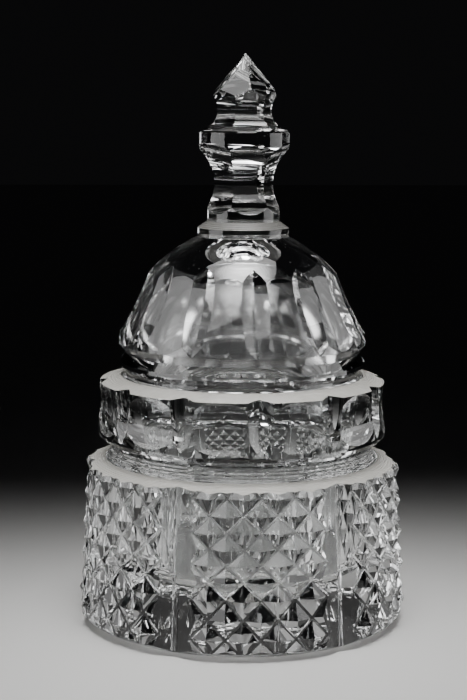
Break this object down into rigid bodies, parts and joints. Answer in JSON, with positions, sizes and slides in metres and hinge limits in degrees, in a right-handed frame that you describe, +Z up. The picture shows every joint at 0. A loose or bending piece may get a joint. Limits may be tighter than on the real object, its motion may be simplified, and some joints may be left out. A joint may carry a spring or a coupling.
{
  "type": "powder jar",
  "caption": "Cut-crystal powder jar: diamond-cut round drum under a fluted ring, with a lift-off fluted dome lid and a faceted finial.",
  "frame": {"origin": "centre of the flat base, on the surface that the jar stands on", "axes": "+Z up along the axis of the jar and lid; -Y is the front, where a narrow flute and the middle of a diamond panel face; +X to the right"},
  "size_m": [0.1022, 0.1038, 0.1765],
  "materials": {
    "crystal_body": "polished clear lead crystal, deep cut, with satin ground ledges",
    "crystal_lid": "polished clear lead crystal, fluted, with a satin ground ledge under the finial"
  },
  "bodies": {
    "jar": {"jar_body": "crystal_body"},
    "lid": {"lid": "crystal_lid"}
  },
  "joints": [
    {"name": "lid_lift", "type": "slide", "parent": "jar", "child": "lid", "axis": [0, 0, 1], "range_m": [0, 0.12]}
  ]
}
